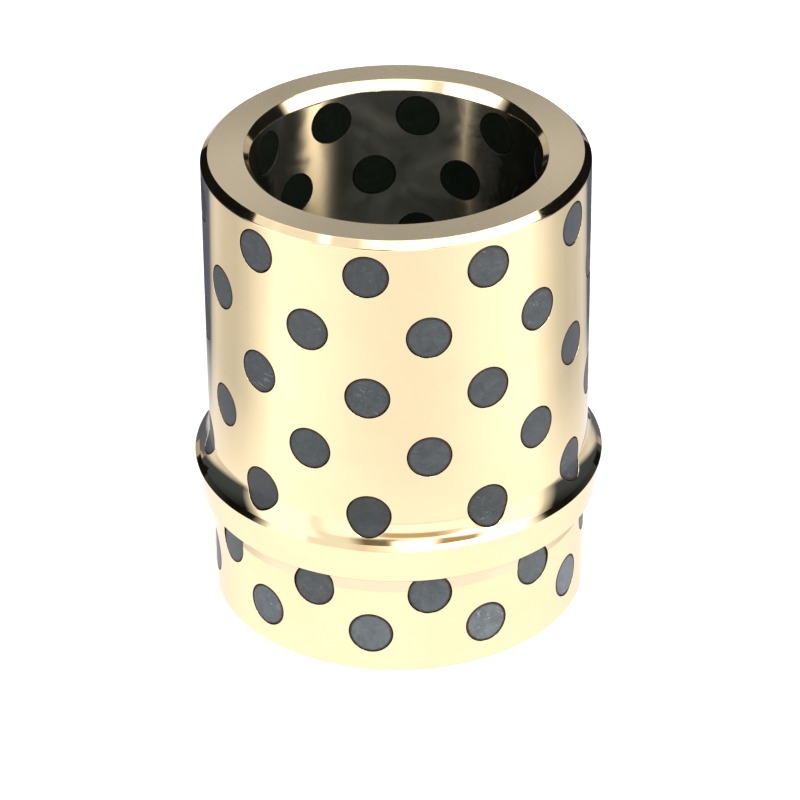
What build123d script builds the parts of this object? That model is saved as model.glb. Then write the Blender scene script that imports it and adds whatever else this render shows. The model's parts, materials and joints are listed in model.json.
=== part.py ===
from build123d import *
import math
import os

# Self-lubricating guide bush: one bronze turning with a collar, and graphite
# plugs pressed through its wall in staggered rows. Millimetres. The bore runs
# along +Z, and the origin is the centre of the lower end face.

# Sleeve, above the seat of the collar
bore_diameter = 38.1          # running bore for a 1 1/2 inch guide pin
wall = 6.35                   # bronze between the bore and the outside
sleeve_length = 49.6          # seat of the collar to the top face
top_chamfer = 0.95            # 45 degree break of the outer top edge
bore_lead_radius = 1.1        # round lead-in at the top of the bore

# Collar, turned from the same piece
collar_stand = 2.0            # how far its crest stands out from the sleeve
collar_land = 5.2             # seat to crest, along the tapered outer face
collar_taper = 9.0            # degrees, narrowing from the crest to the seat
collar_edge = 0.6             # 45 degree break above the crest
collar_hollow_rise = 2.5      # height of the hollow taper from the crest up to the sleeve
collar_hollow_sag = 0.15      # how far its middle lies below a straight taper
seat_break = 0.25             # 45 degree break at the edge of the seat

# Spigot, below the collar
spigot_length = 15.2          # lower end face to the seat of the collar
spigot_step = 0.35            # its radius is this much under the sleeve's
spigot_lead = 0.5             # 45 degree break at its lower outer edge
bore_exit = 0.5               # 45 degree break at the lower end of the bore
relief_width = 2.5            # grinding relief, just below the seat
relief_depth = 0.25

# Graphite plugs
plug_diameter = 5.9
plug_fit_gap = 0.02           # bond line between plug and hole, on the radius
plugs_per_row = 10            # every other row is turned by half a step
first_row_depth = 4.87        # top face to the centres of the highest row
row_pitch = 8.82              # between the rows of the sleeve
collar_keepout = 9.0          # the sleeve's lowest row stays this far above the seat
seat_plug_gap = 0.15          # seat to the edge of the plugs below it
spigot_row_pitch = 6.0        # between the two rows of the spigot

bore_radius = bore_diameter / 2
sleeve_radius = bore_radius + wall
spigot_radius = sleeve_radius - spigot_step
relief_radius = spigot_radius - relief_depth
crest_radius = sleeve_radius + collar_stand
seat_radius = crest_radius - collar_land * math.tan(math.radians(collar_taper))
break_taper = seat_break * math.tan(math.radians(collar_taper))

top_height = spigot_length + sleeve_length
crest_height = spigot_length + collar_land
shoulder_radius = crest_radius - collar_edge
shoulder_height = crest_height + collar_edge
hollow_top_height = shoulder_height + collar_hollow_rise

plug_radius = plug_diameter / 2
row_step = 360 / plugs_per_row
column_step = row_step / 2
drill_reach = crest_radius + 1


def turned_outline():
    """Half section of the bronze, radius along X and height along Z."""
    shoulder = Vector(shoulder_radius, shoulder_height)
    hollow_top = Vector(sleeve_radius, hollow_top_height)
    inward = (hollow_top - shoulder).rotate(Axis.Z, 90).normalized()
    hollow_middle = (shoulder + hollow_top) / 2 + inward * collar_hollow_sag
    lead_top = (bore_radius + bore_lead_radius, top_height)
    lead_end = (bore_radius, top_height - bore_lead_radius)
    below_hollow = Polyline(
        (bore_radius, bore_exit),
        (bore_radius + bore_exit, 0),
        (spigot_radius - spigot_lead, 0),
        (spigot_radius, spigot_lead),
        (spigot_radius, spigot_length - relief_width),
        (relief_radius, spigot_length - relief_width + relief_depth),
        (relief_radius, spigot_length),
        (seat_radius - seat_break, spigot_length),
        (seat_radius + break_taper, spigot_length + seat_break),
        (crest_radius, crest_height),
        shoulder,
    )
    collar_hollow = ThreePointArc(shoulder, hollow_middle, hollow_top)
    above_hollow = Polyline(
        hollow_top,
        (sleeve_radius, top_height - top_chamfer),
        (sleeve_radius - top_chamfer, top_height),
        lead_top,
    )
    bore_lead = TangentArc(lead_top, lead_end, tangent=(-1, 0))
    bore_wall = Line(lead_end, (bore_radius, bore_exit))
    return Plane.XZ * make_face([below_hollow, collar_hollow, above_hollow, bore_lead, bore_wall])


def turned_blank():
    """The bronze as it leaves the lathe, its seam lines between two columns of plugs."""
    blank = revolve(turned_outline(), axis=Axis.Z)
    return Rot(Z=column_step / 2) * blank


def row_heights():
    """Centre heights of the rows, highest first, and whether each is a turned row."""
    rows_above = int((sleeve_length - first_row_depth - collar_keepout) / row_pitch) + 1
    heights = [top_height - first_row_depth - row_pitch * i for i in range(rows_above)]
    upper_spigot_row = spigot_length - seat_plug_gap - plug_radius
    heights += [upper_spigot_row, upper_spigot_row - spigot_row_pitch]
    return [(height, i % 2 == 0) for i, height in enumerate(heights)]


def radial_cylinder(radius, height, azimuth):
    """A cylinder from the axis out past the collar; azimuth 0 points along -Y."""
    along_z = Cylinder(radius, drill_reach, align=(Align.CENTER, Align.CENTER, Align.MIN))
    return Rot(Z=azimuth) * Pos(Z=height) * Rot(X=90) * along_z


def column_azimuths(turned):
    """Azimuths of the columns that hold the turned rows, or the rows between them."""
    first = column_step if turned else 0
    return [first + row_step * i for i in range(plugs_per_row)]


def bronze_bush(blank, rows):
    """The blank with its plug holes drilled."""
    hole_radius = plug_radius + plug_fit_gap
    holes = [
        radial_cylinder(hole_radius, height, azimuth)
        for height, turned in rows
        for azimuth in column_azimuths(turned)
    ]
    return blank - holes


def plug_column(blank, rows, turned):
    """The plugs that stand one above another at azimuth 0, their ends cut flush."""
    return [
        (blank & radial_cylinder(plug_radius, height, 0)).solid()
        for height, row_turned in rows
        if row_turned == turned
    ]


os.makedirs("parts", exist_ok=True)
blank = turned_blank()
rows = row_heights()
export_step(bronze_bush(blank, rows), "parts/bronze_bush.step")

for turned in (False, True):
    plugs = plug_column(blank, rows, turned)
    for azimuth in column_azimuths(turned):
        column = round(azimuth / column_step) + 1
        placed = Compound([Rot(Z=azimuth) * plug for plug in plugs])
        export_step(placed, f"parts/plug_column_{column:02d}.step")
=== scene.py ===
import bpy
import json
import math
import numpy as np
from mathutils import Matrix, Vector, geometry, noise


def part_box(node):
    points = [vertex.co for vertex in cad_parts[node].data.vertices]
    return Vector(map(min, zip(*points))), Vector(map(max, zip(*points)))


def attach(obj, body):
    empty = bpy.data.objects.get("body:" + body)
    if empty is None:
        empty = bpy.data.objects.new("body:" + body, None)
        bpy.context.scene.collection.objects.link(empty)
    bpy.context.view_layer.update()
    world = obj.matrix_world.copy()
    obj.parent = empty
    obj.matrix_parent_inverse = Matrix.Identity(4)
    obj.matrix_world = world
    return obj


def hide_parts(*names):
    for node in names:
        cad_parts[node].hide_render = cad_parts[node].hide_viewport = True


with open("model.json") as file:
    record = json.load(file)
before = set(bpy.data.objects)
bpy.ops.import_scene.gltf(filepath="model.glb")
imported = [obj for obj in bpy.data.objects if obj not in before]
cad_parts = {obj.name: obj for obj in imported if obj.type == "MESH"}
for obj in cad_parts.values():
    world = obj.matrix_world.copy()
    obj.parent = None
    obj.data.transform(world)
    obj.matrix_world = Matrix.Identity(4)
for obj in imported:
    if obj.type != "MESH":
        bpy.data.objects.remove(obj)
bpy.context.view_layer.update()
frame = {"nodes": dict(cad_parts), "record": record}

mm = 0.001
fullTurn = 2 * math.pi
print("frame loaded,", len(frame["nodes"]), "nodes")

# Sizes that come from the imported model
mounts = {m["name"]: m for m in frame["record"]["mounts"]}
boreRadius = mounts["bore"]["dims"]["r_mm"]
sleeveRadius = mounts["sleeve"]["dims"]["r_mm"]
spigotRadius = mounts["spigot"]["dims"]["r_mm"]
seatHeight = mounts["collar_seat"]["pos_m"][2] / mm
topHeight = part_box("bronze_bush")[1][2] / mm
crestRadius = -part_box("bronze_bush")[0][1] / mm
columnNodes = sorted(n for n in frame["nodes"] if n.startswith("plug_column"))
columnStep = fullTurn / len(columnNodes)
plugsApart = 1.0  # mm; a larger gap in height parts one plug from the next


def plugsOf(nodeName):  # azimuth of a column, its plugs' heights, and their radius
    co = np.array([v.co for v in frame["nodes"][nodeName].data.vertices]) / mm
    middle = (co[:, :2].min(0) + co[:, :2].max(0)) / 2
    azimuth = round(math.atan2(middle[0], -middle[1]) / columnStep) * columnStep
    z = np.sort(co[:, 2])
    plugs = np.split(z, np.flatnonzero(np.diff(z) > plugsApart) + 1)
    return azimuth, [round((p[0] + p[-1]) / 2, 2) for p in plugs], (plugs[0][-1] - plugs[0][0]) / 2


columns = {n: plugsOf(n) for n in columnNodes}
plugRadius = columns[columnNodes[0]][2]
rowAzimuths = {}
for azimuth, heights, _ in columns.values():
    for z in heights:
        rowAzimuths.setdefault(z, []).append(azimuth)
rowHeights = sorted(rowAzimuths)
print("sizes read:", round(crestRadius, 3), round(topHeight, 3), round(plugRadius, 3), rowHeights)

# Outline of the bronze
bushShape = {  # mm and degrees
    "topChamfer": 0.95,
    "boreExit": 0.5,
    "spigotLead": 0.5,
    "seatBreak": 0.25,
    "collarLand": 5.2,  # height of the collar's tapered band
    "collarTaper": 9.0,
    "collarEdge": 0.6,  # bevel above the crest
    "hollowRise": 2.5,
    "hollowSag": 0.15,  # how far the hollow dips below a straight taper
    "hollowFoot": 1.20,  # radius where the hollow meets the sleeve
    "hollowSteps": 12,
    "reliefWidth": 2.5,
    "reliefDepth": 0.25,
    "reliefRunout": 0.9,
    "edgeSoftness": 0.10,  # radius that polishing left on every turned edge
    "seatSoftness": 0.02,  # in the corner under the seat
    "chamferSoftness": 0.45,  # and at the foot of the top chamfer
    "boreLead": 1.1,  # slope at the bore's mouth
    "leadSoftness": 0.2,  # radius on both of its edges
    "leadWander": 0.06,  # how unevenly it was eased all round
    "leadEased": (  # azimuth, half width, growth of the slope there
        (-26.0, 26.0, 0.32), (41.0, 24.0, 0.28), (-88.0, 46.0, -0.38), (90.0, 44.0, -0.38),
    ),
    "holeGap": 0.02,  # bond line, on the radius
    "holeBreak": 0.05,  # soft edge round each plug hole
    "holePoints": 56,
    "holeClear": 0.25,  # no points of the plain mesh nearer to a hole than this
    "borderWave": 0.4,  # borders between rows swerve round the plugs on both sides
    "aroundStep": 1.5,  # degrees between the mesh's upright lines
    "heightStep": 1.6,
}
reliefFoot = seatHeight - bushShape["reliefWidth"]
reliefRadius = spigotRadius - bushShape["reliefDepth"]


def softCorner(before, corner, after, radius, steps):  # samples (r, z, normal r, normal z) round one corner
    a, p, b = (np.array(q, float) for q in (before, corner, after))
    d1 = (p - a) / np.linalg.norm(p - a)
    d2 = (b - p) / np.linalg.norm(b - p)
    n1, n2 = np.array([d1[1], -d1[0]]), np.array([d2[1], -d2[0]])
    turn = math.atan2(d1[0] * d2[1] - d1[1] * d2[0], d1 @ d2)
    if radius == 0:
        n = (n1 + n2) / np.linalg.norm(n1 + n2)
        return [(*p, *n)]
    side = math.copysign(1, turn)  # a hollow corner has its centre outside the metal
    centre = p - d1 * radius * abs(math.tan(turn / 2)) - side * n1 * radius
    samples = []
    for k in range(steps + 1):
        c, s = math.cos(turn * k / steps), math.sin(turn * k / steps)
        n = np.array([n1[0] * c - n1[1] * s, n1[0] * s + n1[1] * c])
        samples.append((*(centre + side * n * radius), *n))
    return samples


def bushOutline(shape):  # half section from the bore's foot round to its top, and places on it
    taper = math.tan(math.radians(shape["collarTaper"]))
    soft = shape["edgeSoftness"]
    seatRadius = crestRadius - shape["collarLand"] * taper
    crestHeight = seatHeight + shape["collarLand"]
    shoulder = (crestRadius - shape["collarEdge"], crestHeight + shape["collarEdge"])
    chord = np.array([sleeveRadius - shoulder[0], shape["hollowRise"]])
    half, sag = np.linalg.norm(chord) / 2, shape["hollowSag"]
    bend = (half**2 + sag**2) / (2 * sag)
    inward = np.array([-chord[1], chord[0]]) / (2 * half)
    hollow, hollowSteps = [], shape["hollowSteps"]
    for k in range(1, hollowSteps - 1):  # an arc that dips below the straight taper
        across = half * (2 * k / hollowSteps - 1)
        dip = math.sqrt(bend**2 - across**2) - bend + sag
        hollow.append(("hollow", tuple(np.array(shoulder) + chord * k / hollowSteps + inward * dip), 0, 1))
    hollow.append(("hollowTop", (sleeveRadius, shoulder[1] + shape["hollowRise"]), shape["hollowFoot"], 4))
    corners = [  # name, place, radius, and steps in the curve
        ("boreExit", (boreRadius, shape["boreExit"]), soft, 4),
        ("endInner", (boreRadius + shape["boreExit"], 0), soft, 4),
        ("endOuter", (spigotRadius - shape["spigotLead"], 0), soft, 4),
        ("spigotLead", (spigotRadius, shape["spigotLead"]), soft, 4),
        ("reliefFoot", (spigotRadius, reliefFoot), soft, 3),
        ("reliefWall", (reliefRadius, reliefFoot + shape["reliefRunout"]), soft, 3),
        ("seatInner", (reliefRadius, seatHeight), shape["seatSoftness"], 2),
        ("seatOuter", (seatRadius - shape["seatBreak"], seatHeight), soft, 4),
        ("collarFoot", (seatRadius + shape["seatBreak"] * taper, seatHeight + shape["seatBreak"]), soft, 4),
        ("crest", (crestRadius, crestHeight), soft, 4),
        ("shoulder", shoulder, soft, 3),
        *hollow,
        ("chamferFoot", (sleeveRadius, topHeight - shape["topChamfer"]), shape["chamferSoftness"], 6),
        ("faceOuter", (sleeveRadius - shape["topChamfer"], topHeight), soft, 4),
        ("leadTop", (boreRadius + shape["boreLead"], topHeight), shape["leadSoftness"], 6),
        ("boreLead", (boreRadius, topHeight - shape["boreLead"]), shape["leadSoftness"], 6),
    ]
    samples, first, last = [], {}, {}
    for i, (name, place, radius, steps) in enumerate(corners):
        first.setdefault(name, len(samples))
        samples += softCorner(corners[i - 1][1], place, corners[(i + 1) % len(corners)][1], radius, steps)
        last[name] = len(samples) - 1
    return np.array(samples), first, last


outline, first, last = bushOutline(bushShape)


def stretch(start, end):  # the outline's samples from one index to another
    return outline[np.arange(start, end + 1) % len(outline)]


def skin(start, end):  # a stretch that plugs pass through, from its foot up
    samples = stretch(start, end)
    return samples if samples[0, 1] < samples[-1, 1] else samples[::-1]


spigotSkin = skin(last["spigotLead"], first["seatInner"])
sleeveSkin = skin(last["shoulder"], first["chamferFoot"])
boreSkin = skin(last["boreLead"], first["boreExit"] + len(outline))


def onSkin(samples, z):  # radius, and normal outward and up, at a height
    return [float(np.interp(z, samples[:, 1], samples[:, k])) for k in (0, 2, 3)]


plugGrind = {"below": 2.6, "above": 0.3, "lean": 0.02}  # mm from the relief's foot; lean of the normals
spigotPlugSkin = np.array([  # the plugs there are ground to one even slope past the relief's step
    (spigotRadius, 0, 1, 0),
    (spigotRadius, reliefFoot - plugGrind["below"], 1, plugGrind["lean"]),
    (reliefRadius, reliefFoot + plugGrind["above"], 1, plugGrind["lean"]),
    (reliefRadius, seatHeight, 1, 0),
])


# Mesh helpers
weldGrid = 0.002  # mm; points in one cell of this grid become one point
weldOffset = 0.3183  # in cells, so that round sizes stay off the cells' borders


def linked(name, data):  # a new object in the scene
    made = bpy.data.objects.new(name, data)
    bpy.context.scene.collection.objects.link(made)
    return made


def newShell():
    return {"points": [], "normals": [], "faces": []}


def addTo(shell, points, normals, faces=()):  # returns the numbers of the new points
    start = len(shell["points"])
    shell["points"] += points
    shell["normals"] += normals
    shell["faces"] += [[start + i for i in f] for f in faces]
    return list(range(start, start + len(points)))


def turned(azimuth, r, z, nr, nz):  # a point and normal of the turned surface; azimuth 0 is -Y
    s, c = math.sin(azimuth), math.cos(azimuth)
    return (r * s, -r * c, z), (nr * s, -nr * c, nz)


def drilled(azimuth, x, y, z):  # from a plug's own axes (across, outward, up)
    s, c = math.sin(azimuth), math.cos(azimuth)
    return (x * c + y * s, x * s - y * c, z)


def welded(shell, name):  # joins points that coincide, and keeps each one's normal
    numbers, places, normals, index = {}, [], [], []
    for p, n in zip(shell["points"], shell["normals"]):
        key = tuple(math.floor(c / weldGrid + weldOffset) for c in p)
        if key not in numbers:
            numbers[key] = len(places)
            places.append(Vector(p) * mm)
            normals.append(Vector(n).normalized())
        index.append(numbers[key])
    faces = []
    for f in shell["faces"]:
        g = [index[i] for i in f]
        g = [a for k, a in enumerate(g) if a != g[k - 1]]
        if len(g) > 2:
            faces.append(g)
    mesh = bpy.data.meshes.new(name)
    mesh.from_pydata(places, [], faces)
    mesh.shade_smooth()
    mesh.normals_split_custom_set_from_vertices(normals)
    return mesh


def addTurned(shell, start, end, around):  # a plain stretch of the outline, turned all the way round
    samples = stretch(start, end)
    made = [turned(fullTurn * k / around, *s) for s in samples for k in range(around)]
    faces = []
    for i in range(len(samples) - 1):
        for k in range(around):
            a, b = i * around + k, i * around + (k + 1) % around
            faces.append((a, b, b + around, a + around))
    addTo(shell, [m[0] for m in made], [m[1] for m in made], faces)


def offCentre(samples, height, azimuth, z):  # distance of a place on a skin from the plug at azimuth 0
    return math.hypot(math.sin(azimuth) * onSkin(samples, z)[0], z - height)


def fieldLines(samples, borders, shape):  # azimuths, lines of heights between two borders, and the creases
    half, clear = columnStep, 0.01
    across = int(round(2 * half / math.radians(shape["aroundStep"])))
    azimuths = [half * (2 * i / across - 1) for i in range(across + 1)]
    low, high = [
        [z + swerves * side * shape["borderWave"] * math.cos(math.pi * a / half) for a in azimuths]
        for side, (z, swerves) in zip((-1, 1), borders)
    ]
    creases = [z for z in samples[:, 1] if max(low) + clear < z < min(high) - clear]
    levels = []
    for a, b in zip([max(low)] + creases, creases + [min(high)]):
        gaps = int((b - a) / shape["heightStep"]) + 1
        levels += [a + (b - a) * k / gaps for k in range(1, gaps)] + [b]
    return azimuths, [low] + [[z] * (across + 1) for z in levels[:-1]] + [high], creases


def rimOf(samples, height, rim, place, faces):  # the points round the hole in order, and their angles
    near = rim + 0.02
    edges = {(a, b) for f in faces for a, b in zip(f, f[1:] + f[:1])}
    loose = {a for a, b in edges if (b, a) not in edges}
    turns = {}
    for a in loose:
        azimuth, z = place[a]
        if offCentre(samples, height, azimuth, z) < near:
            turns[a] = math.atan2(z - height, math.sin(azimuth) * onSkin(samples, z)[0])
    ring = sorted(turns, key=turns.get)
    return ring, [turns[a] for a in ring]


def fieldRound(samples, height, borders, rim, shape):  # a plug's share of a skin, with a round hole in it
    azimuths, lines, creases = fieldLines(samples, borders, shape)
    scale = onSkin(samples, height)[0]
    points, edges, rows = [], [], []
    for j, line in enumerate(lines):
        atBorder = j in (0, len(lines) - 1)
        row = {}
        for i, (a, z) in enumerate(zip(azimuths, line)):
            if atBorder or offCentre(samples, height, a, z) > rim + shape["holeClear"]:
                row[i] = len(points)
                points.append((a * scale, z))
        if atBorder or line[0] in creases:  # borders and creases stay whole edges
            edges += [(row[i], row[i + 1]) for i in row if i + 1 in row]
        rows.append(row)
    for i in (0, len(azimuths) - 1):
        edges += [(a[i], b[i]) for a, b in zip(rows, rows[1:])]
    start, count = len(points), shape["holePoints"]
    for k in range(count):
        t = fullTurn * k / count
        z = height + rim * math.sin(t)
        points.append((math.asin(rim * math.cos(t) / onSkin(samples, z)[0]) * scale, z))
        edges.append((start + k, start + (k + 1) % count))
    made = geometry.delaunay_2d_cdt([Vector(p) for p in points], edges, [], 0, 1e-6)
    place = [points[o[0]] if o else tuple(v) for v, o in zip(made[0], made[3])]
    place = [(u / scale, z) for u, z in place]
    faces = []
    for f in made[2]:  # nothing in the hole, nothing past the borders
        a, z = np.mean([place[i] for i in f], axis=0)
        within = np.interp(a, azimuths, lines[0]) < z < np.interp(a, azimuths, lines[-1])
        if within and offCentre(samples, height, a, z) > rim * 0.9995:
            faces.append(list(f))
    used = sorted({i for f in faces for i in f})
    number = {i: k for k, i in enumerate(used)}
    place = [place[i] for i in used]
    faces = [[number[i] for i in f] for f in faces]
    return place, faces, *rimOf(samples, height, rim, place, faces)


def stitched(ringA, turnsA, ringB, turnsB):  # triangles between two rings whose points differ in number
    shift = min(range(len(ringB)), key=lambda k: abs(turnsB[k] - turnsA[0]))
    ringB = ringB[shift:] + ringB[:shift]
    turnsB = turnsB[shift:] + [t + fullTurn for t in turnsB[:shift]]
    turnsA = turnsA + [turnsA[0] + fullTurn]
    turnsB = turnsB + [turnsB[0] + fullTurn]
    faces, i, j = [], 0, 0
    while i < len(ringA) or j < len(ringB):
        a, b = ringA[i % len(ringA)], ringB[j % len(ringB)]
        if j == len(ringB) or (i < len(ringA) and turnsA[i + 1] <= turnsB[j + 1]):
            i += 1
            faces.append((a, ringA[i % len(ringA)], b))
        else:
            j += 1
            faces.append((a, ringB[j % len(ringB)], b))
    return faces


# The soft edge of a hole, from its outer ring inwards; returns the last ring
def softRim(shell, samples, sign, azimuth, height, ring, turns, shape):
    rim = plugRadius + shape["holeGap"] + shape["holeBreak"]
    for share in (0.5, 1.0):
        s, c = math.sin(share * math.pi / 2), math.cos(share * math.pi / 2)
        rho = rim - shape["holeBreak"] * s
        points, normals = [], []
        for t in turns:
            x, z = rho * math.cos(t), height + rho * math.sin(t)
            y = math.sqrt(onSkin(samples, z)[0] ** 2 - x * x) - sign * shape["holeBreak"] * (1 - c)
            points.append(drilled(azimuth, x, y, z))
            normals.append(drilled(azimuth, -math.cos(t) * s, sign * c, -math.sin(t) * s))
        inner = addTo(shell, points, normals)
        for k in range(len(ring)):
            quad = [ring[k - 1], ring[k], inner[k], inner[k - 1]]
            shell["faces"].append(quad[::sign])
        ring = inner
    return ring


def shares(samples, heights):  # each row's share of a skin; 1 marks a border that swerves
    cuts = [((a + b) / 2, 1) for a, b in zip(heights, heights[1:])]
    cuts = [(samples[0, 1], 0)] + cuts + [(samples[-1, 1], 0)]
    return {z: (samples, cuts[i:i + 2]) for i, z in enumerate(heights)}


def buildBush(shape):
    shell = newShell()
    around = int(round(360 / shape["aroundStep"]))
    rim = plugRadius + shape["holeGap"] + shape["holeBreak"]
    addTurned(shell, first["boreExit"], last["spigotLead"], around)
    addTurned(shell, first["seatInner"], last["shoulder"], around)
    addTurned(shell, first["chamferFoot"], last["boreLead"], around)
    outside = shares(spigotSkin, [z for z in rowHeights if z < seatHeight])
    outside.update(shares(sleeveSkin, [z for z in rowHeights if z > seatHeight]))
    inside = shares(boreSkin, rowHeights)
    for height in rowHeights:
        fields = []
        for sign, (samples, cuts) in ((1, outside[height]), (-1, inside[height])):
            fields.append((sign, samples, *fieldRound(samples, height, cuts, rim, shape)))
        for azimuth in rowAzimuths[height]:
            mouths = []
            for sign, samples, place, faces, ring, turns in fields:
                made = []
                for a, z in place:
                    r, nr, nz = onSkin(samples, z)
                    made.append(turned(azimuth + a, r, z, nr, nz))
                shown = faces if sign > 0 else [f[::-1] for f in faces]
                numbers = addTo(shell, [m[0] for m in made], [m[1] for m in made], shown)
                ring = [numbers[i] for i in ring]
                mouths += [softRim(shell, samples, sign, azimuth, height, ring, turns, shape), turns]
            shell["faces"] += stitched(*mouths)  # the wall of the hole
    return welded(shell, "bronzeBush")


def easeLead(mesh, shape):  # the lead was eased by hand: wider here, narrower there
    foot, rim = outline[last["boreLead"]][1], outline[first["leadTop"]][0]
    touch, waves, seed = 0.001, 0.16, 5.3
    for v in mesh.vertices:
        x, y, z = v.co / mm
        r = math.hypot(x, y)
        if z < foot - touch or r > rim + touch:
            continue
        turn = math.degrees(math.atan2(x, y))  # 0 at the far wall
        grown = 1 + shape["leadWander"] * (0.5 + 0.5 * noise.noise(Vector((x * waves, y * waves, seed))))
        for azimuth, half, strength in shape["leadEased"]:
            off = min(1.0, abs(turn - azimuth) / half)
            grown += strength * (0.5 + 0.5 * math.cos(math.pi * off))
        eased = boreRadius + (r - boreRadius) * grown
        v.co = Vector((x * eased / r, y * eased / r, topHeight - (topHeight - z) * grown)) * mm


bushMesh = buildBush(bushShape)
easeLead(bushMesh, bushShape)
print("bush mesh", len(bushMesh.vertices), "points", len(bushMesh.polygons), "faces")

# Graphite plugs
plugShape = {  # mm
    "segments": 48,
    "visibleGap": 0.10,  # radial gap left at the mouth of the hole
    "edgeWander": 0.060,  # unevenness of the plug's edge
    "recess": 0.03,  # how far the ground end sits below the bronze
    "edgeRound": 0.06,
    "rings": (0.25, 0.5, 0.72, 0.86, 0.93),
    "ownShade": 0.35,  # how much single plugs differ in tone
    "footShade": 2.5,  # painted light: how much paler those at the foot are drawn
    "collarShade": -0.25,  # painted shade: how much darker those in the collar's hollow are drawn
}


def plugEdges(azimuth, height, turns, shape):  # the plug's radius at each angle
    rim = plugRadius + bushShape["holeGap"] - shape["visibleGap"]
    edges = []
    for t in turns:
        seed = Vector((math.cos(t) * 1.4 + azimuth * 7.3, math.sin(t) * 1.4 + height, azimuth))
        edges.append(rim - abs(noise.noise(seed * 1.7)) * shape["edgeWander"] * 2)
    return edges


# One end of a plug, on the outside with sign 1 and in the bore with -1; returns its last ring
def plugEnd(shell, samples, sign, azimuth, height, turns, edges, shape):
    def ring(share, sink=0, inward=0, lean=0):  # lean: 1 where the normals point away from the plug's axis
        points, normals = [], []
        for t, edge in zip(turns, edges):
            rho = edge * share if share < 1 else edge - inward
            x, z = rho * math.cos(t), height + rho * math.sin(t)
            r, nr, nz = onSkin(samples, z)
            y = math.sqrt(r * r - x * x)
            base = Vector((nr * x / r, nr * y / r, nz))
            base = base * (1 - lean) + Vector((math.cos(t), 0, math.sin(t))) * lean
            points.append(drilled(azimuth, x, y - sign * (shape["recess"] + sink), z))
            normals.append(drilled(azimuth, *base))
        return addTo(shell, points, normals)

    r, nr, nz = onSkin(samples, height)
    middle = drilled(azimuth, 0, r - sign * shape["recess"], height)
    centre = addTo(shell, [middle], [drilled(azimuth, 0, nr, nz)])[0]
    rings = [ring(share) for share in shape["rings"]]
    rounding = shape["edgeRound"]
    rings.append(ring(1, inward=rounding))
    rings.append(ring(1, sink=rounding * 0.3, inward=rounding * 0.3, lean=0.5))
    rings.append(ring(1, sink=rounding, lean=1))
    for k in range(len(turns)):
        shell["faces"].append([centre, rings[0][k - 1], rings[0][k]][::sign])
        for a, b in zip(rings, rings[1:]):
            shell["faces"].append([a[k - 1], b[k - 1], b[k], a[k]][::sign])
    return rings[-1]


def buildColumn(nodeName, shape):  # the plugs of one column, as closed solids in one mesh
    azimuth, heights, _ = columns[nodeName]
    turns = [fullTurn * k / shape["segments"] for k in range(shape["segments"])]
    shell = newShell()
    for height in heights:
        outside = spigotPlugSkin if height < seatHeight else sleeveSkin
        edges = plugEdges(azimuth, height, turns, shape)
        outer, inner = [
            plugEnd(shell, samples, sign, azimuth, height, turns, edges, shape)
            for sign, samples in ((1, outside), (-1, boreSkin))
        ]
        for k in range(len(turns)):
            shell["faces"].append([outer[k - 1], inner[k - 1], inner[k], outer[k]])
    return welded(shell, nodeName + "Look")


# Shader groups: what several materials share. They give only values and colours.
def newGroup(name, inputs, outputs):  # all take Position; inputs: names and start values
    group = bpy.data.node_groups.new(name, "ShaderNodeTree")
    group.interface.new_socket("Position", in_out="INPUT", socket_type="NodeSocketVector")
    for label, value in inputs.items():
        made = group.interface.new_socket(label, in_out="INPUT", socket_type="NodeSocketFloat")
        made.default_value = value
    for label in outputs:
        group.interface.new_socket(label, in_out="OUTPUT", socket_type="NodeSocketFloat")
    return group, group.nodes.new("NodeGroupInput"), group.nodes.new("NodeGroupOutput")


def feed(tree, socket, value):  # a link from another socket, or a plain value
    if isinstance(value, bpy.types.NodeSocket):
        tree.links.new(value, socket)
    elif value is not None:
        socket.default_value = value


def math2(tree, operation, a, b=None, c=None, clamp=False):  # a Math node; sockets or plain numbers
    node = tree.nodes.new("ShaderNodeMath")
    node.operation, node.use_clamp = operation, clamp
    for i, value in enumerate((a, b, c)):
        feed(tree, node.inputs[i], value)
    return node.outputs[0]


def noiseNode(tree, vector, scale, detail, roughness=0.5, distortion=0.0):
    node = tree.nodes.new("ShaderNodeTexNoise")
    node.inputs["Scale"].default_value = scale
    node.inputs["Detail"].default_value = detail
    node.inputs["Roughness"].default_value = roughness
    node.inputs["Distortion"].default_value = distortion
    tree.links.new(vector, node.inputs["Vector"])
    return node.outputs["Fac"]


def vectorMath(tree, operation, a, b=None):  # a Vector Math node; b is a socket, a plain vector or nothing
    node = tree.nodes.new("ShaderNodeVectorMath")
    node.operation = operation
    feed(tree, node.inputs[0], a)
    feed(tree, node.inputs[1], b)
    return node.outputs[0]


def ownPlace(tree):  # position in the object's own frame
    return tree.nodes.new("ShaderNodeTexCoord").outputs["Object"]


def splitUp(tree, vector):  # its x, y and z
    node = tree.nodes.new("ShaderNodeSeparateXYZ")
    tree.links.new(vector, node.inputs[0])
    return node.outputs


def fromAxis(tree, x, y):  # distance from the upright axis
    squared = math2(tree, "ADD", math2(tree, "MULTIPLY", x, x), math2(tree, "MULTIPLY", y, y))
    return math2(tree, "SQRT", squared)


def ramp(tree, value, stops):  # stops of (place, grey or colour)
    node = tree.nodes.new("ShaderNodeValToRGB")
    elements = node.color_ramp.elements
    while len(elements) < len(stops):
        elements.new(0.5)
    for element, (place, shade) in zip(elements, stops):
        element.position = place
        element.color = shade if isinstance(shade, tuple) else (shade, shade, shade, 1)
    tree.links.new(value, node.inputs[0])
    return node.outputs[0]


def mixColor(tree, factor, a, b, blend="MIX"):
    node = tree.nodes.new("ShaderNodeMix")
    node.data_type, node.blend_type = "RGBA", blend
    for i, value in ((0, factor), (6, a), (7, b)):  # the node's sockets for colours
        feed(tree, node.inputs[i], value)
    return node.outputs[2]


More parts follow.
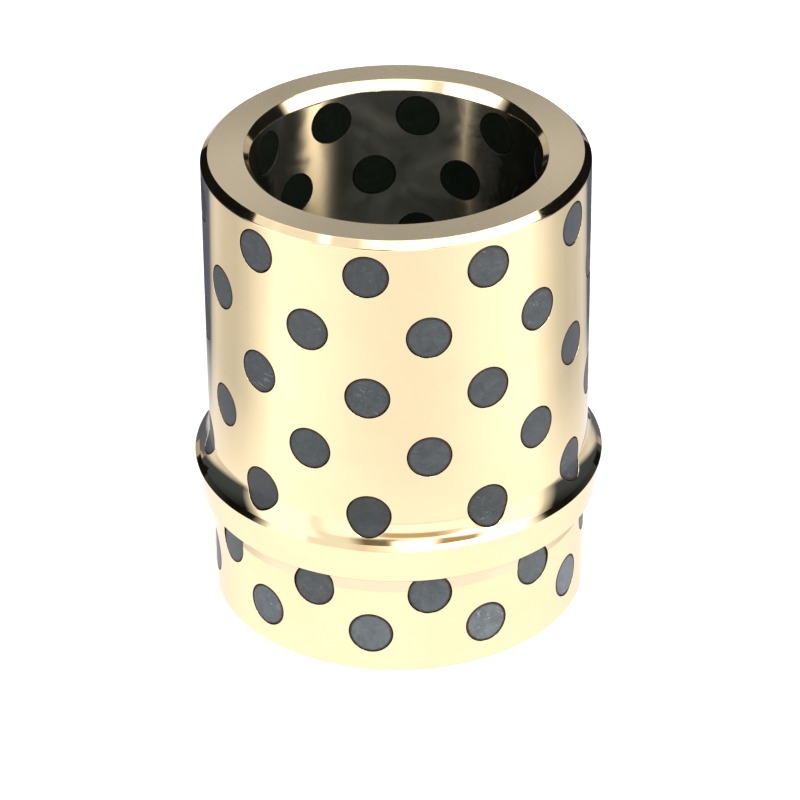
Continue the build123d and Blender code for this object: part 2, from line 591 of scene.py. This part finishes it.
def turningGroup():  # fine rings left by the lathe: Height for bump, Streak for tone
    group, inside, outside = newGroup("turningMarks", {"Pitch": 0.1}, ("Height", "Streak"))
    x, y, z = splitUp(group, inside.outputs["Position"])
    along = math2(group, "DIVIDE", math2(group, "ADD", fromAxis(group, x, y), z), inside.outputs["Pitch"])
    join = group.nodes.new("ShaderNodeCombineXYZ")
    group.links.new(math2(group, "MULTIPLY", x, 18.0), join.inputs["X"])
    group.links.new(math2(group, "MULTIPLY", y, 18.0), join.inputs["Y"])
    group.links.new(along, join.inputs["Z"])
    broad = vectorMath(group, "MULTIPLY", join.outputs[0], (1, 1, 0.11))
    group.links.new(noiseNode(group, join.outputs[0], 1.0, 2.0, 0.6), outside.inputs["Height"])
    group.links.new(noiseNode(group, broad, 1.0, 3.0, 0.6), outside.inputs["Streak"])
    return group


def smudgeGroup():  # handling haze: Haze for roughness and tone, Blotch broad and soft
    group, inside, outside = newGroup("smudges", {"Size": 100.0}, ("Haze", "Blotch"))
    scaled = group.nodes.new("ShaderNodeVectorMath")
    scaled.operation = "SCALE"
    group.links.new(inside.outputs["Position"], scaled.inputs[0])
    group.links.new(inside.outputs["Size"], scaled.inputs["Scale"])
    haze = noiseNode(group, scaled.outputs[0], 1.0, 5.0, 0.62, 0.6)
    blotch = noiseNode(group, scaled.outputs[0], 0.32, 2.0, 0.5)
    group.links.new(ramp(group, haze, [(0.42, 0.0), (0.68, 1.0)]), outside.inputs["Haze"])
    group.links.new(ramp(group, blotch, [(0.3, 0.0), (0.7, 1.0)]), outside.inputs["Blotch"])
    return group


def grainGroup():  # pressed graphite: Tone, Height and bright Flecks
    group, inside, outside = newGroup("graphiteGrain", {}, ("Tone", "Height", "Flecks"))
    place = inside.outputs["Position"]
    cloud = noiseNode(group, place, 620.0, 4.0, 0.6, 0.8)
    grain = noiseNode(group, place, 5200.0, 2.0, 0.7)
    stretched = vectorMath(group, "MULTIPLY", place, (0.8, 0.8, 1.7))
    scratch = noiseNode(group, stretched, 520.0, 5.0, 0.72, 2.6)
    tone = math2(group, "ADD", math2(group, "MULTIPLY", cloud, 0.7), math2(group, "MULTIPLY", grain, 0.3))
    height = math2(group, "ADD", grain, math2(group, "MULTIPLY", cloud, 1.4))
    group.links.new(ramp(group, tone, [(0.3, 0.0), (0.7, 1.0)]), outside.inputs["Tone"])
    group.links.new(height, outside.inputs["Height"])
    group.links.new(ramp(group, scratch, [(0.58, 0.0), (0.70, 1.0)]), outside.inputs["Flecks"])
    return group


turningMarks, smudges, graphiteGrain = turningGroup(), smudgeGroup(), grainGroup()


def newMaterial(name):
    material = bpy.data.materials.new(name)
    material.use_nodes = True
    material.node_tree.nodes.clear()
    return material, material.node_tree


def useGroup(tree, group, **values):
    node = tree.nodes.new("ShaderNodeGroup")
    node.node_tree = group
    tree.links.new(ownPlace(tree), node.inputs["Position"])
    for label, value in values.items():
        node.inputs[label].default_value = value
    return node


def attribute(tree, name):  # a value stored with the mesh
    node = tree.nodes.new("ShaderNodeAttribute")
    node.attribute_name = name
    return node.outputs["Fac"]


def bump(tree, height, strength, distance):
    node = tree.nodes.new("ShaderNodeBump")
    node.inputs["Strength"].default_value = strength
    node.inputs["Distance"].default_value = distance
    tree.links.new(height, node.inputs["Height"])
    return node.outputs[0]


def finishMaterial(tree, material, color, metallic, roughness, normal, anisotropy=0.0, **constants):
    out = tree.nodes.new("ShaderNodeOutputMaterial")
    shader = tree.nodes.new("ShaderNodeBsdfPrincipled")
    inputs = {"Base Color": color, "Metallic": metallic, "Roughness": roughness, "Normal": normal}
    for label, value in {**inputs, **constants}.items():
        feed(tree, shader.inputs[label], value)
    if anisotropy:  # grooves that run round the axis
        around = tree.nodes.new("ShaderNodeTangent")
        around.direction_type, around.axis = "RADIAL", "Z"
        tree.links.new(around.outputs[0], shader.inputs["Tangent"])
        shader.inputs["Anisotropic"].default_value = anisotropy
    tree.links.new(shader.outputs[0], out.inputs[0])
    return material


bronzeLook = {
    "clean": (0.95, 0.785, 0.505, 1), "hazed": (0.90, 0.715, 0.445, 1),
    "roughness": (0.04, 0.10), "marks": 0.05, "pitch": 0.00022, "edgeTint": (0.80, 0.80, 0.82, 1),
}
faceLook = {
    "clean": (0.86, 0.73, 0.52, 1), "hazed": (0.70, 0.60, 0.42, 1),
    "roughness": (0.24, 0.34), "marks": 0.05, "pitch": 0.00016, "edgeTint": (0.6, 0.6, 0.6, 1),
    "anisotropy": 0.6,
}
# the relief under the seat: a rougher finish, and a darker colour that is painted shade under the collar
reliefLook = {
    "clean": (0.90, 0.74, 0.52, 1), "hazed": (0.78, 0.64, 0.44, 1),
    "roughness": (0.28, 0.36), "marks": 0.15, "pitch": 0.00018, "edgeTint": (0.5, 0.5, 0.5, 1),
}
# the bore's film colours: graphite film and painted shade of the bore, darkest on the sides away from the
# far wall
boreLook = {
    "film": (0.235, 0.24, 0.21, 1), "thin": (0.33, 0.32, 0.265, 1), "wiped": (1.0, 0.80, 0.485, 1),
    "thick": (0.045, 0.050, 0.040, 1),
    "darkFrom": 43.0,  # azimuth either side of the far wall beyond which the film is drawn darker, as painted shade on the bore's sides
    "roughness": (0.36, 0.50), "wipedRoughness": 0.55, "marks": 0.12, "pitch": 0.00025,
    "edgeTint": (0.5, 0.5, 0.5, 1),
    "wornLift": 0.40,  # wear leaves the wiped strips facing slightly up
    "wipes": ((39.0, 8.5, 0.56), (-26.0, 13.0, 1.05)),  # azimuth, half width in degrees, strength
}
bondLook = {"color": (0.020, 0.015, 0.010, 1), "roughness": 0.7}
markDepth = 0.00002  # metres; depth of the lathe's marks at full strength
grainDepth = 0.00003  # and of the graphite's grain


def bronzeMaterial(name, look):  # bare metal, polished or ground
    material, tree = newMaterial(name)
    marks = useGroup(tree, turningMarks, Pitch=look["pitch"])
    haze = useGroup(tree, smudges, Size=95.0)
    dirt = math2(tree, "MULTIPLY", math2(tree, "ADD", haze.outputs["Haze"], haze.outputs["Blotch"]), 0.5)
    streak = math2(tree, "MULTIPLY", marks.outputs["Streak"], 0.3)
    dirt = math2(tree, "ADD", math2(tree, "MULTIPLY", dirt, 0.7), streak, clamp=True)
    color = mixColor(tree, dirt, look["clean"], look["hazed"])
    low, high = look["roughness"]
    rough = math2(tree, "MULTIPLY_ADD", dirt, high - low, low)
    normal = bump(tree, marks.outputs["Height"], look["marks"], markDepth)
    grooves, tint = look.get("anisotropy", 0.0), {"Specular Tint": look["edgeTint"]}
    return finishMaterial(tree, material, color, 1.0, rough, normal, grooves, **tint)


def wipedStrips(tree, turn, haze, wipes):  # 1 where the film is wiped off
    wander = math2(tree, "MULTIPLY_ADD", haze, 0.05, -0.025)
    turn = math2(tree, "ADD", turn, wander)
    total = 0.0
    for azimuth, half, strength in wipes:
        off = math2(tree, "ABSOLUTE", math2(tree, "SUBTRACT", turn, math.radians(azimuth)))
        strip = math2(tree, "SUBTRACT", 1.0, math2(tree, "DIVIDE", off, math.radians(half)), clamp=True)
        total = math2(tree, "ADD", math2(tree, "MULTIPLY", strip, strength), total)
    smooth = tree.nodes.new("ShaderNodeMapRange")
    smooth.interpolation_type = "SMOOTHSTEP"
    tree.links.new(total, smooth.inputs["Value"])
    return smooth.outputs[0]


def boreMaterial(name, look):  # metal under the dark film that graphite leaves, wiped in two strips; the film's darkness is also painted shade of the bore
    material, tree = newMaterial(name)
    marks = useGroup(tree, turningMarks, Pitch=look["pitch"])
    haze = useGroup(tree, smudges, Size=120.0)
    x, y, _ = splitUp(tree, ownPlace(tree))
    turn = math2(tree, "ARCTAN2", x, y)  # 0 at the far wall
    wiped = wipedStrips(tree, turn, haze.outputs["Haze"], look["wipes"])
    film = mixColor(tree, haze.outputs["Blotch"], look["film"], look["thin"])
    film = mixColor(tree, math2(tree, "MULTIPLY", marks.outputs["Streak"], 0.3), film, look["thin"])
    uneven = math2(tree, "MULTIPLY_ADD", haze.outputs["Haze"], 0.3, -0.15)
    aside = math2(tree, "ADD", math2(tree, "ABSOLUTE", turn), uneven)
    aside = math2(tree, "SUBTRACT", aside, math.radians(look["darkFrom"]))
    film = mixColor(tree, math2(tree, "DIVIDE", aside, 0.25, clamp=True), film, look["thick"])
    color = mixColor(tree, wiped, film, look["wiped"])
    low, high = look["roughness"]
    rough = math2(tree, "MULTIPLY_ADD", haze.outputs["Haze"], high - low, low)
    rough = math2(tree, "MULTIPLY_ADD", wiped, look["wipedRoughness"] - high, rough)
    normal = bump(tree, marks.outputs["Height"], look["marks"], markDepth)
    lift = tree.nodes.new("ShaderNodeCombineXYZ")
    tree.links.new(math2(tree, "MULTIPLY", wiped, look["wornLift"]), lift.inputs["Z"])
    lifted = vectorMath(tree, "ADD", normal, lift.outputs[0])
    normal = vectorMath(tree, "NORMALIZE", lifted)
    tint = {"Specular Tint": look["edgeTint"]}
    return finishMaterial(tree, material, color, 1.0, rough, normal, **tint)


graphiteLook = {
    "dark": (0.028, 0.034, 0.039, 1), "light": (0.070, 0.081, 0.090, 1), "fleck": (0.24, 0.25, 0.255, 1),
    "rim": (0.024, 0.016, 0.009, 1),
    "ringFrom": 0.905, "ragged": 0.08,  # where the dark ring begins, and how ragged it is; 1 is the radius
    "roughness": (0.38, 0.55), "relief": 0.35, "shine": 0.5,
}
workedShadedLook = {  # the ends in the bore, black with worked-in dust and painted shade of the bore
    "dark": (0.002, 0.0045, 0.002, 1), "light": (0.006, 0.010, 0.006, 1), "fleck": (0.02, 0.022, 0.02, 1),
    "rim": (0.004, 0.004, 0.003, 1),
    "ringFrom": 0.93, "ragged": 0.08,
    "roughness": (0.55, 0.70), "relief": 0.35, "shine": 0.07,
}
ringWidth = 0.04  # over which the ring darkens


def graphiteMaterial(name, look, cast):  # cast: this column's own tone, a small colour shift
    material, tree = newMaterial(name)
    grain = useGroup(tree, graphiteGrain)
    color = mixColor(tree, grain.outputs["Tone"], look["dark"], look["light"])
    color = mixColor(tree, 1.0, color, cast, "MULTIPLY")
    flecks = math2(tree, "MULTIPLY", grain.outputs["Flecks"], attribute(tree, "scratched"))
    color = mixColor(tree, flecks, color, look["fleck"])
    # each plug's own tone, with painted light at the foot and painted shade in the collar's hollow
    color = mixColor(tree, 1.0, color, attribute(tree, "shade"), "MULTIPLY")
    fray = noiseNode(tree, ownPlace(tree), 1500.0, 3.0, 0.6)
    ragged = math2(tree, "MULTIPLY_ADD", fray, look["ragged"], attribute(tree, "rim"))
    ring = ramp(tree, ragged, [(look["ringFrom"], 0.0), (look["ringFrom"] + ringWidth, 1.0)])
    color = mixColor(tree, ring, color, look["rim"])
    low, high = look["roughness"]
    rough = math2(tree, "MULTIPLY_ADD", grain.outputs["Tone"], high - low, low)
    normal = bump(tree, grain.outputs["Height"], look["relief"], grainDepth)
    shine = {"Specular IOR Level": look["shine"]}
    return finishMaterial(tree, material, color, 0.0, rough, normal, **shine)


def bondMaterial(name, look):  # the dark line of adhesive and graphite dust round each plug
    material, tree = newMaterial(name)
    return finishMaterial(tree, material, look["color"], 0.0, look["roughness"], None)


polished = bronzeMaterial("bronzePolished", bronzeLook)
ground = bronzeMaterial("bronzeGround", faceLook)
satinShaded = bronzeMaterial("bronzeRelief", reliefLook)
filmedShaded = boreMaterial("bronzeBore", boreLook)
bond = bondMaterial("bondLine", bondLook)


def markBush(mesh):  # a material for each turned surface and for the walls of the holes
    materials = (polished, ground, filmedShaded, bond, satinShaded)
    for material in materials:
        mesh.materials.append(material)
    touch, slack, inWall = 0.004, 0.01, 0.3  # mm
    slots = []
    for face in mesh.polygons:
        x, y, z = face.center / mm
        r = math.hypot(x, y)
        betweenEnds = bushShape["boreExit"] < z < topHeight - bushShape["boreLead"]
        kind = polished
        if z > topHeight - touch or z < touch:
            kind = ground
        elif betweenEnds and r < boreRadius + touch:
            kind = filmedShaded
        elif betweenEnds and r < reliefRadius - inWall:
            kind = bond
        # the relief under the seat, whose darker colour is painted shade
        elif reliefFoot < z < seatHeight + slack and r < spigotRadius + slack:
            kind = satinShaded
        slots.append(materials.index(kind))
    mesh.polygons.foreach_set("material_index", slots)


def markPlugs(mesh, heights, azimuth):  # values for the graphite's look, painted light and shade among them, and a material for each end
    marks = {"rim": [], "shade": [], "scratched": []}  # rim: place out from the plug's axis, 1 at its edge
    s, c = math.sin(azimuth), math.cos(azimuth)
    hollowTop = seatHeight + bushShape["collarLand"] + bushShape["hollowRise"] + plugRadius
    for v in mesh.vertices:
        x, y, z = v.co / mm
        across = x * c + y * s
        rho, height = min((math.hypot(across, z - h), h) for h in heights)
        own = plugShape["ownShade"] * noise.noise(Vector((azimuth * 5.1, height * 0.37, 2.7)))
        # painted light at the foot and painted shade in the collar's hollow, added to each plug's own tone
        foot = plugShape["footShade"] * max(0, 1 - height / seatHeight)
        collar = plugShape["collarShade"] * (seatHeight < height < hollowTop)
        scratched = 0.35 + 1.6 * noise.noise(Vector((azimuth * 7.7, height * 0.53, 9.1)))
        marks["rim"].append(rho / plugRadius)
        marks["shade"].append(1 + own + foot + collar)
        marks["scratched"].append(max(0.1, min(1.0, scratched)))
    for name, values in marks.items():
        mesh.attributes.new(name, "FLOAT", "POINT").data.foreach_set("value", values)
    inBore = [int(math.hypot(*face.center[:2]) / mm < boreRadius + 0.2) for face in mesh.polygons]
    mesh.polygons.foreach_set("material_index", inBore)


def addPiece(name, mesh, node):
    piece = linked(name, mesh)
    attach(piece, "root")
    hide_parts(node)


markBush(bushMesh)
addPiece("bushBody", bushMesh, "bronze_bush")
casts = [(1.0, 1.0, 1.0, 1), (0.92, 1.0, 1.03, 1), (1.06, 1.04, 1.0, 1), (0.95, 0.95, 1.02, 1)]
graphites = [graphiteMaterial("graphite%d" % i, graphiteLook, cast) for i, cast in enumerate(casts)]
# the ends in the bore: worked-in graphite and painted shade of the bore
worked = graphiteMaterial("graphiteWorked", workedShadedLook, casts[0])
for i, node in enumerate(columnNodes):
    azimuth, heights, _ = columns[node]
    mesh = buildColumn(node, plugShape)
    mesh.materials.append(graphites[(i * 7 // 3) % len(graphites)])
    mesh.materials.append(worked)
    markPlugs(mesh, heights, azimuth)
    addPiece("plugs%02d" % (i + 1), mesh, node)
print("pieces made")

# Studio: everything here is turned to face the camera. Lengths in metres, angles in degrees
cameraLook = {
    "azimuth": -9.237, "eye": (1.774, -479.875, 316.115),  # its place in mm
    "pitch": 31.073, "yaw": 0.184, "roll": -0.527, "lens": 188.13,
}
floorLook = {
    "color": (0.97, 0.97, 0.97, 1), "lift": 0.45, "turn": 4, "halfSize": 6,
    "round": (  # painted reflection, how the metal shows it: azimuth from the camera, brightness; brighter to the sides, with painted shade behind the object
        (0, 1.08), (36, 1.24), (60, 1.40), (72, 1.42), (84, 1.05), (94, 0.80), (104, 0.70), (116, 0.77),
        (126, 0.93), (133, 0.75), (138, (0.15, 0.18, 0.25)), (158, (0.12, 0.14, 0.20)), (165, 0.9),
        (180, 1.0),
    ),
    "near": 1.32, "nearFrom": 0.080, "nearTo": 0.046,  # and its brightness close to the foot, a painted pool of light
}
worldForSurfaces = 0.3  # share of the white surroundings that lights matt surfaces
facing = Matrix.Rotation(math.radians(cameraLook["azimuth"]), 4, "Z")


def direction(azimuth, elevation):  # azimuth 0 is towards the camera, positive to the right
    a, e = math.radians(azimuth), math.radians(elevation)
    return Vector((math.sin(a) * math.cos(e), -math.cos(a) * math.cos(e), math.sin(e)))


def addCamera(look):
    camera = linked("camera", bpy.data.cameras.new("camera"))
    camera.data.sensor_width, camera.data.lens = 36, look["lens"]
    camera.data.clip_start, camera.data.clip_end = 0.01, 50
    away = direction(look["yaw"], look["pitch"])
    roll = Matrix.Rotation(math.radians(look["roll"]), 4, "Z")
    turn = away.to_track_quat("Z", "Y").to_matrix().to_4x4() @ roll
    camera.matrix_world = facing @ Matrix.Translation(Vector(look["eye"]) * mm) @ turn
    bpy.context.scene.camera = camera


def softbox(name, centre, size, aim, radiance, mirrored=True):  # the light leaves it towards aim
    light = bpy.data.lights.new(name, "AREA")
    light.shape = "RECTANGLE"
    light.size, light.size_y = size
    light.energy = radiance * math.pi * size[0] * size[1]
    lamp = linked(name, light)
    back = (Vector(centre) - Vector(aim)).normalized()
    turn = back.to_track_quat("Z", "Y").to_matrix().to_4x4()
    lamp.matrix_world = facing @ Matrix.Translation(centre) @ turn
    lamp.visible_camera = False
    lamp.visible_glossy = mirrored


def finishStage(tree, factor, a, b):  # puts out a mix of two shaders
    mix = tree.nodes.new("ShaderNodeMixShader")
    out = tree.nodes.new("ShaderNodeOutputMaterial")
    for i, source in enumerate((factor, a, b)):
        tree.links.new(source, mix.inputs[i])
    tree.links.new(mix.outputs[0], out.inputs[0])


def cardMask(tree, side, share, place, halfWidth, soft, lean, footFade, mottle):  # 1 where it is solid
    mask = 1.0
    for sign, blur, spread in ((1, soft[0], lean[0]), (-1, soft[1], lean[1])):
        inside = math2(tree, "MULTIPLY_ADD", side, sign, halfWidth)
        inside = math2(tree, "ADD", inside, math2(tree, "MULTIPLY", share, spread))
        edge = math2(tree, "DIVIDE", inside, max(blur, 0.001) * halfWidth, clamp=True)
        mask = math2(tree, "MULTIPLY", mask, edge)
    if footFade:
        mask = math2(tree, "MULTIPLY", mask, math2(tree, "DIVIDE", share, footFade, clamp=True))
    if mottle:
        scale, cover = mottle
        fromMiddle = math2(tree, "ABSOLUTE", math2(tree, "MULTIPLY_ADD", share, 2.0, -1.0))
        ends = math2(tree, "DIVIDE", math2(tree, "SUBTRACT", 1.0, fromMiddle), 0.3, clamp=True)
        patches = noiseNode(tree, place, scale, 3.0, 0.6)
        start = 0.5 - cover * 0.2
        patches = ramp(tree, patches, [(start - 0.06, 0.0), (start + 0.10, 1.0)])
        mask = math2(tree, "MULTIPLY", math2(tree, "MULTIPLY", mask, ends), patches)
    return mask


def asColor(shade):  # a grey or a colour, as red, green and blue
    return (shade,) * 3 if isinstance(shade, float) else shade


# A panel seen only in reflections. Shades run from its foot to its top. Soft and lean are for its left and
# right edges: the share that fades, and how far the top reaches out. Mottle: scale and share of patches
def card(name, azimuth, low, high, halfWidth, distance, shades, soft=(0.0, 0.0), lean=(0.0, 0.0),
         footFade=0.0, mottle=None, tilt=0.0, shift=(0, 0, 0)):
    foot = [(-halfWidth, 0, low), (halfWidth, 0, low)]
    top = [(halfWidth + lean[1], 0, high), (-halfWidth - lean[0], 0, high)]
    mesh = bpy.data.meshes.new(name)
    mesh.from_pydata(foot + top, [], [(0, 1, 2, 3)])
    panel = linked(name, mesh)
    turn = Matrix.Rotation(math.radians(azimuth), 4, "Z") @ Matrix.Rotation(math.radians(tilt), 4, "X")
    away = direction(azimuth, 0) * distance + Vector(shift)
    panel.matrix_world = facing @ Matrix.Translation(away) @ turn
    material, tree = newMaterial(name)
    place = ownPlace(tree)
    side, _, height = splitUp(tree, place)
    share = math2(tree, "DIVIDE", math2(tree, "SUBTRACT", height, low), high - low)
    colors = [asColor(shade) for shade in shades]
    brightest = max(max(c) for c in colors)
    stops = [(i / (len(colors) - 1), (*(v / brightest for v in c), 1)) for i, c in enumerate(colors)]
    glow = tree.nodes.new("ShaderNodeEmission")
    glow.inputs["Strength"].default_value = brightest
    tree.links.new(ramp(tree, share, stops), glow.inputs["Color"])
    mask = cardMask(tree, side, share, place, halfWidth, soft, lean, footFade, mottle)
    clear = tree.nodes.new("ShaderNodeBsdfTransparent")
    finishStage(tree, mask, clear.outputs[0], glow.outputs[0])
    mesh.materials.append(material)
    panel.visible_camera = panel.visible_diffuse = panel.visible_shadow = False


def floorGlow(tree, look):  # the floor as the metal shows it: a painted reflection that glows for glossy rays only, with painted light near the foot and painted shade behind the object
    x, y, _ = splitUp(tree, ownPlace(tree))
    away = fromAxis(tree, x, y)
    backward = math2(tree, "MULTIPLY_ADD", math2(tree, "DIVIDE", y, away), 0.5, 0.5)  # 0 in front, 1 behind
    brightest = 2.0
    stops = []
    for azimuth, shade in look["round"]:
        where = (1 - math.cos(math.radians(azimuth))) / 2
        stops.append((where, (*(v / brightest for v in asColor(shade)), 1)))
    near = math2(tree, "SUBTRACT", look["nearFrom"], away)
    near = math2(tree, "DIVIDE", near, look["nearFrom"] - look["nearTo"], clamp=True)
    level = mixColor(tree, near, ramp(tree, backward, stops), (look["near"] / brightest,) * 3 + (1,))
    glow = tree.nodes.new("ShaderNodeEmission")
    glow.inputs["Strength"].default_value = brightest
    tree.links.new(level, glow.inputs["Color"])
    return glow.outputs[0]


def addFloor(look):
    size = look["halfSize"]
    mesh = bpy.data.meshes.new("floor")
    corners = [(-size, -size, 0), (size, -size, 0), (size, size, 0), (-size, size, 0)]
    mesh.from_pydata(corners, [], [(0, 1, 2, 3)])
    floor = linked("floor", mesh)
    floor.matrix_world = facing @ Matrix.Rotation(math.radians(look["turn"]), 4, "Z")
    material, tree = newMaterial("floor")
    shader = tree.nodes.new("ShaderNodeBsdfDiffuse")
    shader.inputs["Color"].default_value = look["color"]
    path = tree.nodes.new("ShaderNodeLightPath")
    seen = tree.nodes.new("ShaderNodeEmission")
    lift = math2(tree, "MULTIPLY", path.outputs["Is Camera Ray"], look["lift"])
    tree.links.new(lift, seen.inputs["Strength"])
    lit = tree.nodes.new("ShaderNodeAddShader")
    tree.links.new(shader.outputs[0], lit.inputs[0])
    tree.links.new(seen.outputs[0], lit.inputs[1])
    finishStage(tree, path.outputs["Is Glossy Ray"], lit.outputs[0], floorGlow(tree, look))
    mesh.materials.append(material)


def addWorld(forSurfaces):
    world = bpy.data.worlds.new("studio")
    bpy.context.scene.world = world
    world.use_nodes = True
    tree = world.node_tree
    back = tree.nodes["Background"]
    path = tree.nodes.new("ShaderNodeLightPath")
    seen = math2(tree, "MAXIMUM", path.outputs["Is Camera Ray"], path.outputs["Is Glossy Ray"])
    strength = math2(tree, "MULTIPLY_ADD", seen, 1.0 - forSurfaces, forSurfaces)
    tree.links.new(strength, back.inputs["Strength"])
    back.inputs["Color"].default_value = (1, 1, 1, 1)


addCamera(cameraLook)
addFloor(floorLook)
addWorld(worldForSurfaces)
softbox("overhead", (0.25, -0.09, 0.6), (2.1, 0.8), (0, -0.09, 0), 1.1)
softbox("key", (0.05, -0.85, 0.74), (0.45, 0.30), (0, 0, 0.02), 10.0)
softbox("fillRight", (0.75, -0.35, 0.45), (0.5, 0.5), (0, 0, 0.03), 3.0, mirrored=False)

# Dark panels beside and behind, for the body's grey edges and the chamfers
black = [0.006, 0.01]
greys = [(0.058, 0.078, 0.105), (0.050, 0.066, 0.088), 0.006, 0.006, 0.006]
card("flagLeft", -105, 0.002, 0.15, 0.054, 0.13, greys, soft=(0.0, 0.4), lean=(0.0, 0.022), footFade=0.09)
card("flagRight", 109, 0.002, 0.15, 0.066, 0.13, greys, soft=(0.4, 0.0), lean=(0.022, 0.0), footFade=0.09)
card("flagLeftUpper", -132, 0.028, 0.15, 0.035, 0.13, black)
card("flagRightUpper", 136, 0.028, 0.15, 0.030, 0.13, black)

# Black and bright panels for the slope at the bore's mouth
for side, name in ((-1, "Left"), (1, "Right")):
    card("leadFlag" + name, side * 137, 0.10, 0.24, 0.064, 0.13, black, soft=(0.3, 0.3))
    card("leadGlow" + name, side * 66, 0.215, 0.37, 0.047, 0.13, [2.2, 2.2])
    card("leadGlowRear" + name, side * 98, 0.172, 0.30, 0.034, 0.13, [2.2, 2.2])

# The room behind and above
card("backGrey", 180, 0.12, 0.42, 0.42, 0.34, [0.55, 0.50, 0.42, 0.36])
card("backLow", 180, 0.0, 0.12, 0.50, 0.34, [(0.46, 0.45, 0.40), (0.50, 0.48, 0.42)])
card("backDark", 180, 0.0, 0.10, 0.12, 0.32, [0.10, 0.14])
card("ceiling", 0, -0.42, 0.30, 0.245, 0.0, [2.0, 2.0, 2.0, 1.8, 1.3], soft=(0.25, 0.25), tilt=-90,
     shift=(0.075, 0, 0.595))

# Bright panels in front
card("boreRight", 64, 0.16, 0.33, 0.07, 0.26, [5.0, 5.0], soft=(0.5, 0.5))
for side, name in ((-1, "Left"), (1, "Right")):
    card("glow" + name, side * 66, 0.0, 0.44, 0.15, 0.4, [1.5, 1.5], soft=(0.4, 0.4))
card("frontGlow", 0, 0.0, 0.66, 0.9, 0.8, [1.40, 1.40, 1.45, 1.35], soft=(0.3, 0.3))

# Brown and cream patches for the front of the top chamfer
streaks = {  # azimuth, low, high, half width, distance, colour at the foot and the top, soft, mottle
    "streakLine": (10, 0.20, 0.33, 0.30, 0.5, (0.66, 0.50, 0.31), (0.58, 0.42, 0.25), 0.5, 0.7, 9, 1.1),
    "streakLeft": (-14, 0.18, 0.37, 0.075, 0.27, (0.17, 0.14, 0.10), (0.20, 0.16, 0.11), 0.6, 0.6, 9, 1.6),
    "streakHalo": (-12, 0.17, 0.42, 0.115, 0.275, (0.88, 0.76, 0.56), (0.80, 0.68, 0.50), 0.8, 0.8, 9, 2.2),
    "streakRight": (36, 0.34, 0.64, 0.17, 0.5, (0.52, 0.40, 0.25), (0.42, 0.31, 0.18), 0.5, 0.5, 14, 1.2),
}
for name, streak in streaks.items():
    card(name, *streak[:5], streak[5:7], soft=streak[7:9], mottle=streak[9:])
bpy.context.scene.view_settings.view_transform = "Standard"
print("studio made")
